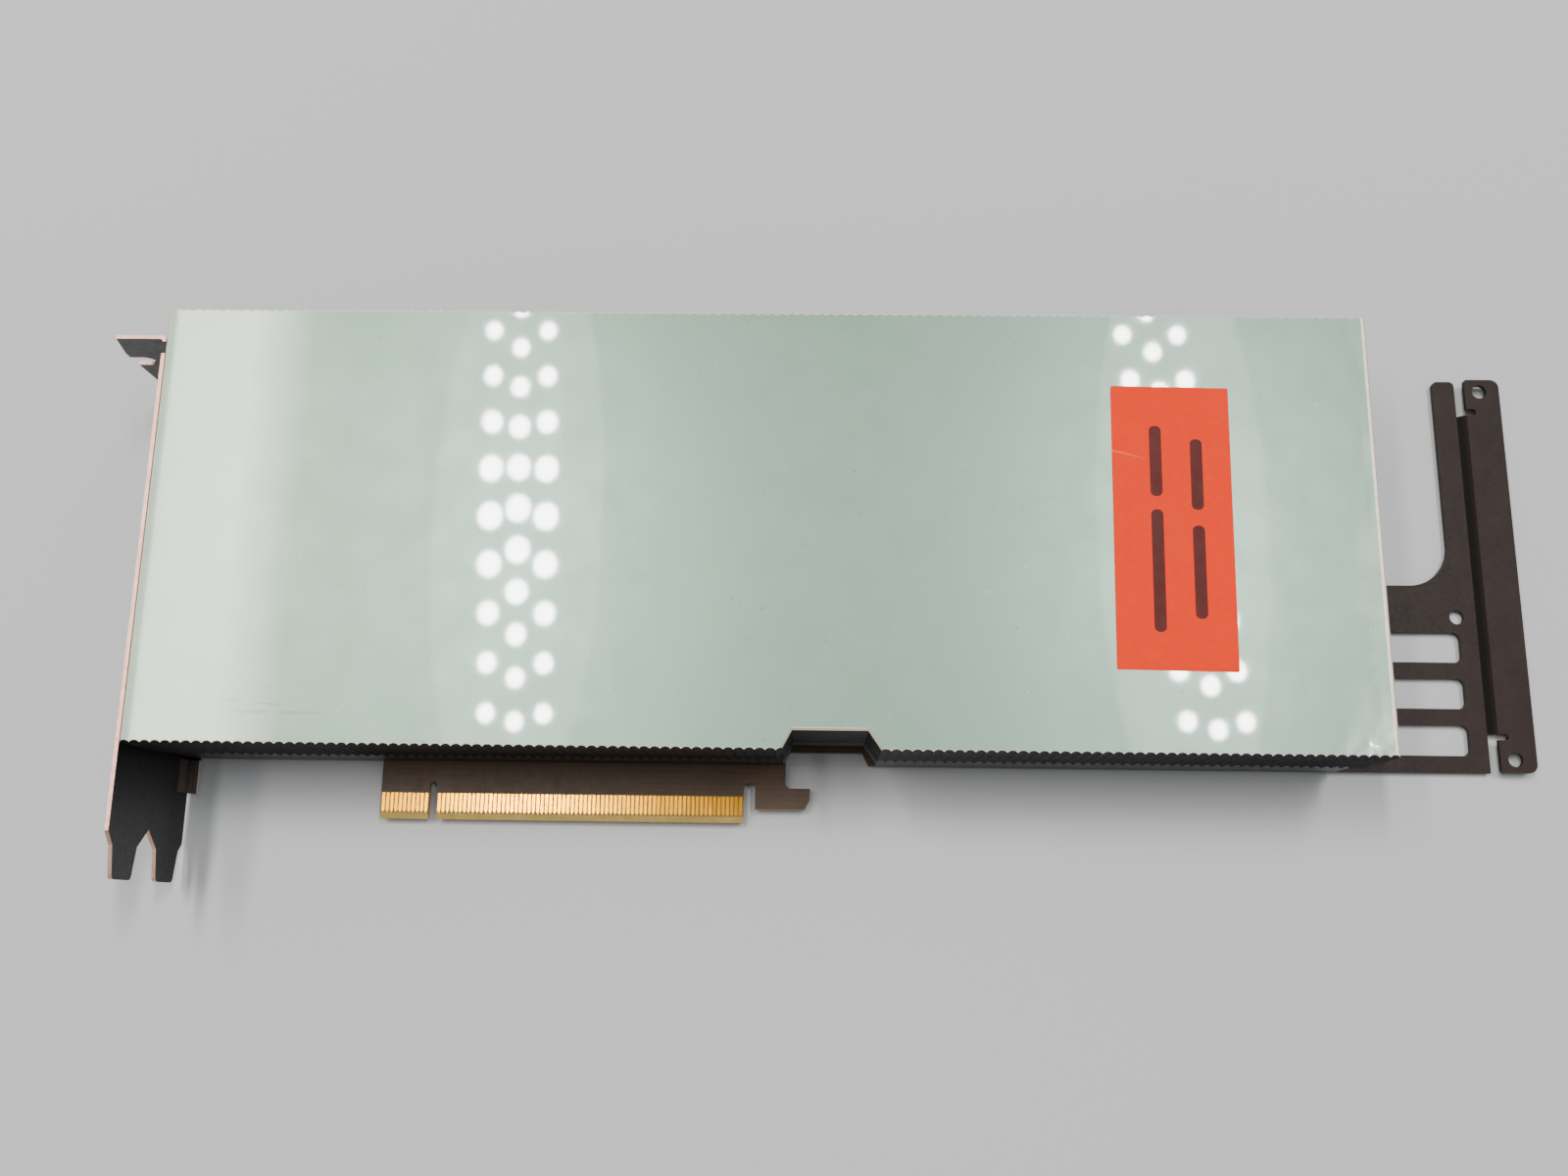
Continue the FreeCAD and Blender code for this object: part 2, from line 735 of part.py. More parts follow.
def make_manager():
    chip = Piece("management_chip")
    chip.pad("0", "manager_height", [square("manager_x", "processor_y", "manager_side")])
    return chip


def power_square(level, side):
    """A square about one pole of the power connector, in the plane across the card's length."""
    return square("power_y - power_span / 2", f"power_height / 2 {level} power_pitch / 2", side)


def make_power_housing():
    housing = Piece("power_connector")
    block = box("power_low", "0", "power_high", "power_height")
    housing.pad("power_front", "power_rear", [block], plane="YZ")
    housing.pocket("power_rear - power_cavity_depth", "power_rear", [
        power_square("-", "power_cavity"), power_square("+", "power_cavity")], plane="YZ")
    housing.row("Y", "power_poles", "power_span")
    ramp_rear = "power_rear - latch_setback"
    ramp_front = f"{ramp_rear} - latch_length"
    ramp = [(ramp_front, "power_height"), (ramp_front, "power_height + latch_height"),
            (ramp_rear, "power_height")]
    housing.pad("power_y - latch_width / 2", "power_y + latch_width / 2", [ramp], plane="XZ")
    return housing


def make_power_pins():
    pins = Piece("power_pins")
    start = "power_rear - power_cavity_depth"
    pins.pad(start, f"{start} + power_pin_length", [
        power_square("-", "power_pin"), power_square("+", "power_pin")], plane="YZ")
    pins.row("Y", "power_poles", "power_span")
    return pins


def backplate_outline():
    return recessed("backplate_left", "board_low + backplate_margin", "backplate_right",
                    "board_high - backplate_margin", "recess_left - backplate_margin",
                    "recess_right + backplate_margin",
                    "board_low + recess_depth + backplate_margin", "recess_lean_left", "recess_lean_right")


def backplate_hollow(gap):
    """The hollow's rectangle, drawn in by a gap."""
    rim = f"(backplate_rim + {gap})"
    return box(f"backplate_left + {rim}", f"board_low + backplate_margin + {rim}",
               f"backplate_right - {rim}", f"board_high - backplate_margin - {rim}")


def make_backplate():
    """A plate that is thick along its rim, where it meets the board, and hollow over the solder joints."""
    plate = Piece("backplate")
    plate.pad("backplate_low", "-board_thickness", [backplate_outline()])
    plate.pocket("backplate_top", "-board_thickness", [backplate_hollow("0")])
    places = frame_screw_places()
    plate.pocket("backplate_low", "head_seat", circles=rounds(places, "head_recess"))
    plate.pocket("head_seat", "-board_thickness", circles=rounds(places, "bore_clear"))
    return plate


def make_insulator():
    sheet = Piece("insulating_sheet")
    sheet.pad("backplate_top", "backplate_top + insulator_thickness", [backplate_hollow("insulator_gap")])
    return sheet


def make_screws(name, places, head_low, head_high, end):
    """Low-headed screws driven upwards, each a head and a shank."""
    screws = Piece(name)
    screws.pad(head_low, head_high, circles=rounds(places, "head_diameter"))
    screws.pad(head_high, end, circles=rounds(places, "screw_diameter"))
    return screws


def make_bracket():
    bracket = Piece("io_bracket")
    tip = "-tongue_tip"
    second_high = "tongue_high - tongue_pitch"
    first_low = "tongue_high - tongue_width"
    second_low = f"{second_high} - tongue_width"
    outline = [("bend_end", "-bracket_under"), ("bend_end", "bracket_over"),
               ("-bracket_shoulder", "bracket_over"), ("-tongue_root", "tongue_high"),
               (tip, "tongue_high - tongue_taper"),
               (tip, f"{first_low} + tongue_taper"), ("-tongue_root", first_low),
               ("-vee_apex", f"({first_low} + {second_high}) / 2"), ("-tongue_root", second_high),
               (tip, f"{second_high} - tongue_taper"), (tip, f"{second_low} + tongue_taper"),
               ("-tongue_root", second_low), ("-bracket_foot", "-bracket_under")]
    bracket.pad("bracket_outer", "bracket_inner", [outline], plane="YZ")
    bracket.round_corners("tongue_end_corner", [4, 5, 9, 10])
    bend_left = "bracket_outer - bend_radius"
    axis = (bend_left, "bend_end")
    bracket.pad("-bracket_under", "bracket_over", circles=[(*axis, "2 * bend_outer")])
    bracket.pocket("-bracket_under", "bracket_over", circles=[(*axis, "2 * bend_radius")])
    bracket.pocket("-bracket_under", "bracket_over", [
        box("flange_tip", "bend_end - bend_outer - overcut", bend_left, "flange_top"),
        box(bend_left, "bend_end - bend_outer - overcut", "bracket_outer", "bend_end")])
    bracket.pad("flange_top - bracket_thickness", "flange_top", [[
        (bend_left, "-bracket_under"), ("flange_tip", "-bracket_under"), ("flange_tip", "nose_high"),
        ("flange_end", "bracket_over"), (bend_left, "bracket_over")]], plane="XZ")
    relief = box("bend_end - bend_relief", "bracket_over - bend_relief_depth", "bend_end", "bracket_over")
    bracket.pocket("bracket_outer", "bracket_inner", [relief], plane="YZ")
    notch_x = "flange_end + notch_depth - notch_width / 2"
    notches = (("notch_height", "notch_height - notch_width / 2"),
               ("notch_height - slot_pitch", "-bracket_under - overcut"))
    for height, foot in notches:
        mouth = box("flange_tip - overcut", foot, notch_x, f"{height} + notch_width / 2")
        bracket.pocket("flange_top - bracket_thickness", "flange_top", [mouth], plane="XZ")
        end = (notch_x, height, "notch_width")
        bracket.pocket("flange_top - bracket_thickness", "flange_top", circles=[end], plane="XZ")
    ear_end = "bracket_inner + ear_reach"
    bracket.pad("ear_low", "ear_high", [[
        ("bracket_outer", "0"), ("bracket_outer", "ear_under + bend_radius"),
        ("bracket_outer + bend_radius", "ear_under"), (ear_end, "ear_under"), (ear_end, "ear_top"),
        ("bracket_inner", "ear_top"), ("bracket_inner", "0")]], plane="XZ")
    for middle in ("lug_low", "lug_high"):
        lug = box(ear_end, f"{middle} - lug_width / 2", "lug_end", f"{middle} + lug_width / 2")
        bracket.pad("ear_under", "ear_top", [lug])
        bracket.round_corners("lug_corner", [1, 2])
    bracket.pocket("ear_under", "ear_top", circles=rounds(bracket_screw_places(), "bore_clear"))
    vent_end = "vent_first + vent_width"
    upper = "vent_middle + vent_web / 2"
    lower = "vent_middle - vent_web / 2"
    bracket.pocket("bracket_outer", "bracket_inner", [
        box("vent_first", upper, vent_end, f"{upper} + vent_height"),
        box("vent_first", f"{lower} - vent_height", vent_end, lower)], plane="YZ")
    bracket.row("Y", "vent_count", "vent_span")
    return bracket


def strip_outline():
    """The raised strip's outline, with a hooked relief at each end of the jog."""
    ends = []
    for inner, outer in (("jog_high", "jog_high + relief_width"), ("jog_low", "jog_low - relief_width")):
        ends.append([("strip_front", outer), ("hook_end", outer),
                     ("hook_end", inner), ("strip_front", inner)])
    upper, lower = ends
    return [("strip_front", "extender_low"), ("extender_rear", "extender_low"),
            ("extender_rear", "extender_high"), ("strip_front", "extender_high"), *upper, *reversed(lower)]


def make_extender():
    extender = Piece("extender_bracket")
    extender.pad("extender_under", "extender_top", [[
        ("extender_front", "extender_low"), ("extender_fold", "extender_low"),
        ("extender_fold", "extender_high"), ("arm_left", "extender_high"),
        ("arm_left", "window_edge"), ("extender_front", "window_edge")]])
    extender.round_corners("window_corner", [4])
    extender.round_corners("sheet_corner", [2, 3])
    extender.pad("jog_low", "jog_high", [[
        ("extender_fold", "extender_under"), ("strip_front", "strip_under"), ("strip_front", "strip_top"),
        ("extender_fold", "extender_top")]], plane="XZ")
    extender.pad("strip_under", "strip_top", [strip_outline()])
    extender.round_corners("extender_corner", [1, 2])
    extender.round_corners("relief_corner", [0, 3, 5, 6, 9, 10])
    slot_rear = "extender_fold - slot_inset"
    slots = []
    for step in range(3):
        low = f"extender_low + slot_low + {step} * slot_step"
        slots.append(box(f"{slot_rear} - slot_length", low, slot_rear, f"{low} + slot_height"))
    extender.pocket("extender_under", "extender_top", slots)
    extender.round_corners("slot_corner", range(12))
    holes = [("extender_rear - strip_hole_inset", "extender_low + strip_hole_edge"),
             ("extender_rear - strip_hole_inset", "extender_high - strip_hole_edge"),
             ("extender_fold - arm_hole_x", "extender_low + arm_hole_y")]
    extender.pocket("extender_under", "strip_top", circles=rounds(holes, "hole_diameter"))
    extender.pocket("extender_under", "extender_top", circles=rounds(extender_screw_places(), "bore_clear"))
    return extender


doc = FreeCAD.newDocument("accelerator_card")
sheet = doc.addObject("Spreadsheet::Sheet", "sizes")
for row, (name, value) in enumerate(SIZES.items(), 1):
    sheet.set(f"A{row}", name)
    sheet.set(f"B{row}", str(value))
    sheet.setAlias(f"B{row}", name)
doc.recompute()

bracket_places = bracket_screw_places()
extender_places = extender_screw_places()
pieces = [
    make_cover(), make_film(), make_label(), make_board(),
    make_contacts("front_contacts", "0", "contact_thickness"),
    make_contacts("rear_contacts", "-board_thickness - contact_thickness", "-board_thickness"),
    make_frame(), make_substrate(), make_stiffener(), make_die(), make_memory(), make_interface(),
    make_chamber(), make_fins(), make_chokes(), make_choke_pads(), make_stages(), make_input_chokes(),
    make_capacitors(), make_controllers(), make_manager(), make_power_housing(), make_power_pins(),
    make_backplate(), make_insulator(), make_bracket(), make_extender(),
    make_screws("frame_screws", frame_screw_places(), "head_seat - head_height", "head_seat", "screw_depth"),
    make_screws("bracket_screws", bracket_places, "ear_under - head_height", "ear_under", "screw_depth"),
    make_screws("extender_screws", extender_places, "extender_under - head_height", "extender_under",
                "screw_depth"),
]
doc.recompute()

for item in doc.Objects:
    if {"Invalid", "Error"} & set(item.State):
        raise SystemExit(f"{item.Name}: {item.State}")
for piece in pieces:
    shape = piece.body.Shape
    if shape.isNull() or not shape.isValid():
        raise SystemExit(f"{piece.body.Label}: its shape is not valid")

os.makedirs("parts", exist_ok=True)
for piece in pieces:
    piece.body.Shape.exportStep(f"parts/{piece.body.Label}.step")
    print(piece.body.Label, len(piece.body.Shape.Solids), round(piece.body.Shape.Volume, 1))
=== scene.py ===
import math

import bmesh
import bpy
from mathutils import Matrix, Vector, noise


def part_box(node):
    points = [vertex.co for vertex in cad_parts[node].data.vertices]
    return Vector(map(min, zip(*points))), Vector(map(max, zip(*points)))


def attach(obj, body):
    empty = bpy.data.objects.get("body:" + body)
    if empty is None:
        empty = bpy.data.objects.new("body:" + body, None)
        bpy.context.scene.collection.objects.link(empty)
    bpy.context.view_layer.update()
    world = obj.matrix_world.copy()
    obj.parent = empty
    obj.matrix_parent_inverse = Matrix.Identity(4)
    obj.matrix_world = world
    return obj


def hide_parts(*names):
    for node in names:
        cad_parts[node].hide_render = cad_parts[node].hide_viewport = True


# The looks of a passive accelerator card. Everything is in metres, in the row's frame, apart from sizes
# whose names end in _MM. The plan of the card is counted in millimetres from the datum of its edge connector:
# X from the middle of the key notch, Y from the lower end of the tongue, Z from the board's component side.
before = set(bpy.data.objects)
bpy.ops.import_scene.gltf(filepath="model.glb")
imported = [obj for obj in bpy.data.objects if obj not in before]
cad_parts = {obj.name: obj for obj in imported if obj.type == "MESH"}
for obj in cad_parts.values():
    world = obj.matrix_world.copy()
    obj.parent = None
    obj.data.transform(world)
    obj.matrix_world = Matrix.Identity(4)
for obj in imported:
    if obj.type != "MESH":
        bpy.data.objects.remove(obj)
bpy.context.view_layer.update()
MM = 0.001

COVER_LOW, COVER_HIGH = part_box("cover")
BOARD_LOW, BOARD_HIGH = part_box("circuit_board")
FILM_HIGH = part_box("protective_film")[1]
LABEL_LOW, LABEL_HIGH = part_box("film_label")
KEY_TO_COVER_MM = 58.3
DATUM = Vector((COVER_LOW.x + KEY_TO_COVER_MM * MM, BOARD_LOW.y, BOARD_HIGH.z))

# Cover
FLUTES = 122
FLUTE_DEPTH_MM = 0.5
EDGE_CHAMFER_MM = 0.45
RECESS_LEFT_MM = 81.35
RECESS_RIGHT_MM = 102.5
RECESS_DEPTH_MM = 4.25
RECESS_LEAN_LEFT_MM = 2.25
RECESS_LEAN_RIGHT_MM = 2.9

# Film
FILM_INSET_MM = 0.12
FILM_SHORT_MM = 1.1
FILM_THICKNESS_MM = 0.1
FILM_SHEET_MM = 0.08
COLUMNS_PER_FLUTE = 6
CREASED_BAND_MM = 14.0
CREASED_ROWS = 18
PLAIN_ROWS = 24
CRUMPLE_REACH_X_MM = 9.0
CRUMPLE_REACH_Y_MM = 5.0
CRUMPLE_LIFT_MM = 0.04
CRUMPLE_FOLD_MM = 0.22
WAVE_REACH_MM = 4.0
WAVE_HEIGHT_MM = 0.1
# Where a painted reflection of the left window lies across the film, along X.
REFLECTION_BAND_X_MM = (-70.0, -14.0)
LIFTED_X_MM = (196.0, 208.0)
SCUFF_X_MM = (-38.0, -14.0)
SCUFF_Y_MM = (19.0, 24.5)

# Label. A row of bars has its place across the label, then each bar's place along it and its length.
LABEL_WIDTH_MM = 25.7
LABEL_HEIGHT_MM = 63.3
LABEL_CORNER_MM = 0.25
LABEL_UNDER_MM = 0.02
LABEL_TOP_MM = 0.08
LABEL_TILT = math.radians(-0.8)
BAR_WIDTH_MM = 2.6
BAR_CORNER_MM = 1.1
BAR_UNDER_MM = LABEL_TOP_MM - 0.03
BAR_TOP_MM = LABEL_TOP_MM + 0.02
BAR_ROWS_MM = (
    (-3.4, ((-9.9, 27.0), (14.6, 16.0))),
    (5.4, ((-10.1, 20.5), (11.7, 16.0))),
)
CREASE_ACROSS_MM = (117.1, 117.7)
CREASE_END_X_MM = (155.0, 160.5)

# Contacts
CONTACT_PITCH_MM = 1.0
CONTACT_WIDTH_MM = 0.7
CONTACT_THICKNESS_MM = 0.05
CONTACT_LOW_MM = 1.45
CONTACT_HIGH_MM = 5.95
CONTACT_POINT_MM = 0.55
KEY_TO_CONTACT_MM = 1.5
CONTACTS_BEFORE_KEY = 11
CONTACTS_AFTER_KEY = 71

# Board
BEVEL_LENGTH_MM = 1.3
TONGUE_SIDE_Y_MM = (6.0, 9.0)
LANE_HALF_PITCH_MM = 0.8
LANE_MM = (0.3, 0.5)
RUN_HALF_PITCH_MM = 1.3
RUN_MM = (0.5, 0.7)

# I/O bracket
SHEET_EDGE_ABOVE_MM = -1.2
TIP_EDGE_BELOW_MM = -3.0
# The lower ear's foot takes a painted grey sheen, with a line of painted shade along its fold and a bare end.
FOOT_Y_MM = (5.2, 13.0)
FOOT_BELOW_MM = 3.8
FOOT_FOLD_SHADE_MM = (-1.56, -1.1)
FOOT_TIP_BELOW_MM = -1.6

# Extender
FOLD_FROM_BOARD_MM = 38.15
FOLD_SHADE_MM = 0.9

# Lights, which all look straight down. A strip of lamps has its distance aside, the pitch of its lamps, their
# number and the place of the first. A row of strips has its place at Y = 0 and its lean in each metre.
LIGHT_HEIGHT = 2.0
LAMP_STRIPS = ((-0.046, 0.0817, 13, -0.084), (0.0, 0.0706, 16, -0.123), (0.046, 0.0817, 13, -0.084))
LAMP_ROWS = (("left", -0.466, -0.0376), ("right", 0.668, -0.119))
LAMP_MIDDLE = 0.57
LAMP_SIZE = 0.026
LAMP_SWELL = 0.014
LAMP_SWELL_REACH = 0.2
LAMP_STRETCH = 1.15
LAMP_POWER = 0.5
LAMP_POWER_SIZE = 0.034
GLOW_WIDTHS = (0.1, 0.15, 0.21, 0.28)
GLOW_LENGTH = 0.5
GLOW_POWER = 2.3
WINDOW_LEFT = -1.09
WINDOW_RIGHT = -0.86
WINDOW_MIDDLE = 0.5
WINDOW_DEPTH = 1.3
WINDOW_STEPS = 6
WINDOW_STEP = 0.015
WINDOW_POWER = 90.0
WINDOW_COLOUR = (1.0, 0.97, 0.87)
ROOM_COLOUR = (0.84, 0.87, 0.9, 1.0)
ROOM_STRENGTH = 0.3

# Floor and camera
FLOOR_SIZE = 6.0
CAMERA_PLACE = (-0.00453, -0.069185, 0.33709)
CAMERA_TURN = (0.2271, 0.0160, 0.0141)
CAMERA_LENS_MM = 32.85
CAMERA_SENSOR_MM = 36.0
CAMERA_NEAREST = 0.01


def at(x, y, z):
    """A point in the row's frame, from millimetres counted from the edge connector's datum."""
    return DATUM + Vector((x, y, z)) * MM


def plan(point):
    """The millimetres from the datum of a point in the row's frame."""
    return (point - DATUM) / MM


class Look:
    """A node material with one Principled shader."""

    def __init__(self, name, **settings):
        self.material = bpy.data.materials.new(name)
        self.material.use_nodes = True
        self.tree = self.material.node_tree
        self.shader = self.tree.nodes["Principled BSDF"]
        for socket, value in settings.items():
            self.set(socket.replace("_", " "), value)

    def set(self, socket, value):
        """Sets one of the shader's own sockets."""
        self.put(self.shader.inputs[socket], value)

    def put(self, target, value):
        """Gives a socket a number or colour, or links a node's output to it."""
        if isinstance(value, bpy.types.NodeSocket):
            self.tree.links.new(value, target)
        else:
            target.default_value = value

    def node(self, kind, inputs=None, **settings):
        """A new node, with its own settings and what goes into its sockets."""
        made = self.tree.nodes.new(kind)
        for key, value in settings.items():
            setattr(made, key, value)
        for key, value in (inputs or {}).items():
            self.put(made.inputs[key], value)
        return made

    def place(self):
        """The place on the object, in metres."""
        return self.node("ShaderNodeTexCoord").outputs["Object"]

    def stretched(self, x, y, z):
        """The place with each axis multiplied, for grain that runs one way."""
        return self.node("ShaderNodeMapping", {"Vector": self.place(), "Scale": (x, y, z)}).outputs[0]

    def noise(self, scale, detail=3.0, roughness=0.5, where=None):
        return self.node("ShaderNodeTexNoise", {
            "Vector": where or self.place(), "Scale": scale, "Detail": detail, "Roughness": roughness,
        }).outputs["Fac"]

    def maths(self, operation, first, second=0.0):
        return self.node("ShaderNodeMath", {0: first, 1: second}, operation=operation).outputs[0]

    def both(self, first, second):
        """The product of two values, for masks that hold where both do."""
        return self.maths("MULTIPLY", first, second)

    def over(self, value, limit):
        """One where a value is over a limit, and nothing elsewhere."""
        return self.maths("GREATER_THAN", value, limit)

    def under(self, value, limit):
        """One where a value is under a limit, and nothing elsewhere."""
        return self.maths("LESS_THAN", value, limit)

    def ramp(self, value, low, high, start=0.0, end=1.0):
        """A value scaled from one range to another, and held at its ends."""
        return self.node("ShaderNodeMapRange", {
            "Value": value, "From Min": low, "From Max": high, "To Min": start, "To Max": end,
        }).outputs[0]

    def mix(self, factor, first, second):
        """One colour blended into another. The node's colour sockets are inputs 6 and 7 and output 2."""
        made = self.node("ShaderNodeMix", data_type="RGBA")
        self.put(made.inputs[0], factor)
        self.put(made.inputs[6], first)
        self.put(made.inputs[7], second)
        return made.outputs[2]

    def axis(self, name):
        """One coordinate of the place, in millimetres from the datum, for a metre either way."""
        reach = 1.0
        parts = self.node("ShaderNodeSeparateXYZ", {"Vector": self.place()})
        middle = getattr(DATUM, name.lower())
        return self.ramp(parts.outputs[name], middle - reach, middle + reach, -reach / MM, reach / MM)

    def between(self, value, low, high, soft):
        """One between two limits and nothing outside them, with soft ends."""
        rise = self.ramp(value, low, low + soft)
        fall = self.ramp(value, high - soft, high, 1.0, 0.0)
        return self.both(rise, fall)

    def facing(self, name):
        """One coordinate of the face's own normal."""
        normal = self.node("ShaderNodeNewGeometry").outputs["True Normal"]
        return self.node("ShaderNodeSeparateXYZ", {"Vector": normal}).outputs[name]

    def steep(self, name, limit):
        """One where the face's own normal leans along an axis, either way, by more than a limit."""
        return self.over(self.maths("ABSOLUTE", self.facing(name)), limit)

    def rough(self, value, low, high):
        """Roughness that wanders between two numbers with a noise."""
        self.set("Roughness", self.ramp(value, 0.3, 0.7, low, high))

    def bump(self, height, strength, distance):
        made = self.node("ShaderNodeBump", {"Height": height, "Strength": strength, "Distance": distance})
        self.set("Normal", made.outputs[0])


def rgb(red, green, blue):
    """A linear colour from the 0 to 255 values of a screen."""
    linear = []
    for value in (red, green, blue):
        part = value / 255
        linear.append(part / 12.92 if part <= 0.04045 else ((part + 0.055) / 1.055) ** 2.4)
    return (*linear, 1.0)


def wear(look, fresh, worn, scale):
    """A colour with faint cloudy variation."""
    return look.mix(look.ramp(look.noise(scale, 6.0, 0.6), 0.4, 0.75), fresh, worn)


def cover_look():
    """Satin black sides, a pale champagne face and bright chamfers, told apart by the way they face."""
    look = Look("cover_metal", Specular_IOR_Level=0.06)
    up = look.facing("Z")
    face = look.over(up, 0.9)
    edge = look.over(up, 0.5)
    black = wear(look, rgb(7, 8, 9), rgb(12, 13, 15), 90.0)
    champagne = wear(look, rgb(232, 224, 208), rgb(240, 232, 216), 40.0)
    bright = rgb(250, 224, 204)
    look.set("Base Color", look.mix(face, look.mix(edge, black, bright), champagne))
    look.set("Metallic", look.both(edge, 0.6))
    grain = look.noise(900.0, 2.0, 0.5, look.stretched(0.08, 1.0, 1.0))
    look.rough(grain, 0.44, 0.56)
    look.bump(look.noise(2500.0, 2.0), 0.15, 0.00005)
    return look.material


def film_look():
    """A clear film on pale metal: grey-green and glossy, milky where it lifts, with scuffs and fine dust."""
    look = Look("film", Metallic=0.25, Coat_Weight=1.0, Coat_Roughness=0.028, Coat_IOR=1.5)
    x = look.axis("X")
    y = look.axis("Y")
    clouds = look.ramp(look.noise(9.0, 4.0), 0.35, 0.65)
    green = look.mix(clouds, rgb(134, 164, 143), rgb(138, 167, 146))

    # Painted reflection: a faint pale band over the film's front part stands in for the left window's
    # reflection.
    wander = look.ramp(look.noise(16.0, 3.0), 0.3, 0.7, -4.0, 4.0)
    painted_reflection = look.between(look.maths("ADD", x, wander), *REFLECTION_BAND_X_MM, 9.0)
    base = look.mix(look.both(painted_reflection, 0.1), green, rgb(196, 202, 184))

    edge = look.ramp(look.maths("SUBTRACT", x, look.both(y, 0.12)), *LIFTED_X_MM)
    lifted = look.both(edge, look.ramp(look.noise(70.0, 4.0), 0.38, 0.56))
    base = look.mix(look.both(lifted, 0.55), base, rgb(218, 226, 216))

    dashes = look.noise(300.0, 2.0, 0.5, look.stretched(0.25, 3.0, 1.0))
    scuffed = look.both(look.between(x, *SCUFF_X_MM, 3.0), look.between(y, *SCUFF_Y_MM, 1.0))
    scuffs = look.both(scuffed, look.ramp(dashes, 0.55, 0.62))
    base = look.mix(look.both(scuffs, 0.55), base, rgb(84, 102, 90))

    dust = look.ramp(look.noise(900.0, 1.0), 0.24, 0.2, 0.0, 0.5)
    base = look.mix(dust, base, rgb(90, 104, 94))
    specks = look.ramp(look.noise(1100.0, 1.0), 0.76, 0.8)
    look.set("Base Color", look.mix(look.both(specks, 0.25), base, rgb(236, 238, 232)))
    look.set("Roughness", look.ramp(look.noise(120.0, 3.0), 0.35, 0.65, 0.31, 0.35))
    look.bump(look.noise(26.0, 2.0, 0.4), 0.04, 0.0003)
    return look.material


def label_look():
    """Coated orange paper with a faint crease across one corner."""
    look = Look("label_paper", Specular_IOR_Level=0.06)
    orange = wear(look, rgb(255, 52, 0), rgb(255, 60, 6), 160.0)
    x = look.axis("X")
    across = look.maths("ADD", look.axis("Y"), look.both(x, 0.25))
    short = look.ramp(x, *CREASE_END_X_MM, 1.0, 0.0)
    crease = look.both(look.between(across, *CREASE_ACROSS_MM, 0.25), short)
    look.set("Base Color", look.mix(look.both(crease, 0.6), orange, rgb(255, 140, 96)))
    look.rough(look.noise(900.0, 3.0), 0.36, 0.46)
    look.bump(look.maths("ADD", look.noise(1800.0, 3.0), crease), 0.12, 0.00004)
    return look.material


def plain_look(name, fresh, worn, roughness, metallic=0.0):
    """A finish with cloudy colour and a fine grain."""
    look = Look(name, Metallic=metallic)
    look.set("Base Color", wear(look, fresh, worn, 80.0))
    look.rough(look.noise(320.0, 3.0), roughness - 0.05, roughness + 0.05)
    look.bump(look.noise(1800.0, 2.0), 0.1, 0.00004)
    return look.material


def board_look():
    """Dark solder mask over faint straight traces, bare between the contacts, on the bevel and on edges."""
    look = Look("board_mask", Specular_IOR_Level=0.2)
    x = look.axis("X")
    y = look.axis("Y")
    mask = wear(look, rgb(84, 65, 49), rgb(93, 73, 56), 120.0)

    cells = look.node("ShaderNodeTexVoronoi", {"Vector": look.place(), "Scale": 90.0}, distance="MANHATTAN")
    chance = look.node("ShaderNodeSeparateColor", {"Color": cells.outputs["Color"]}).outputs["Red"]
    lanes = look.between(look.maths("PINGPONG", x, LANE_HALF_PITCH_MM), *LANE_MM, 0.05)
    runs = look.between(look.maths("PINGPONG", y, RUN_HALF_PITCH_MM), *RUN_MM, 0.05)
    upright = look.both(lanes, look.over(chance, 0.8))
    level = look.both(runs, look.under(chance, 0.4))
    traces = look.maths("MAXIMUM", upright, level)
    covered = look.mix(look.both(traces, 0.35), mask, rgb(116, 94, 74))

    finger = look.ramp(y, CONTACT_HIGH_MM + 0.1, CONTACT_HIGH_MM + 0.25, 1.0, 0.0)
    finger = look.both(finger, look.under(x, CONTACTS_AFTER_KEY + 1.5))
    sides = look.maths("MAXIMUM", look.steep("Y", 0.95), look.steep("X", 0.5))
    laminate = wear(look, rgb(186, 156, 84), rgb(206, 176, 104), 500.0)
    low = look.ramp(y, BEVEL_LENGTH_MM, BEVEL_LENGTH_MM + 0.1, 1.0, 0.0)
    bevel = look.mix(low, look.mix(0.6, laminate, rgb(60, 44, 20)), laminate)
    edge = look.mix(look.ramp(y, *TONGUE_SIDE_Y_MM), laminate, rgb(60, 50, 36))
    bare = look.mix(sides, bevel, edge)
    look.set("Base Color", look.mix(look.maths("MAXIMUM", finger, sides), covered, bare))
    look.rough(look.noise(500.0), 0.36, 0.46)
    look.bump(traces, 0.2, 0.00003)
    return look.material


def gold_look(name):
    """Gold plating with fine lengthwise polish marks and a little variation from pad to pad."""
    look = Look(name, Metallic=1.0)
    tone = look.noise(260.0, 2.0, 0.5, look.stretched(1.0, 0.1, 1.0))
    look.set("Base Color", look.mix(look.ramp(tone, 0.35, 0.65), rgb(238, 158, 18), rgb(242, 165, 24)))
    polish = look.noise(1500.0, 2.0, 0.5, look.stretched(1.0, 0.1, 1.0))
    look.rough(polish, 0.17, 0.22)
    look.bump(polish, 0.02, 0.00001)
    return look.material


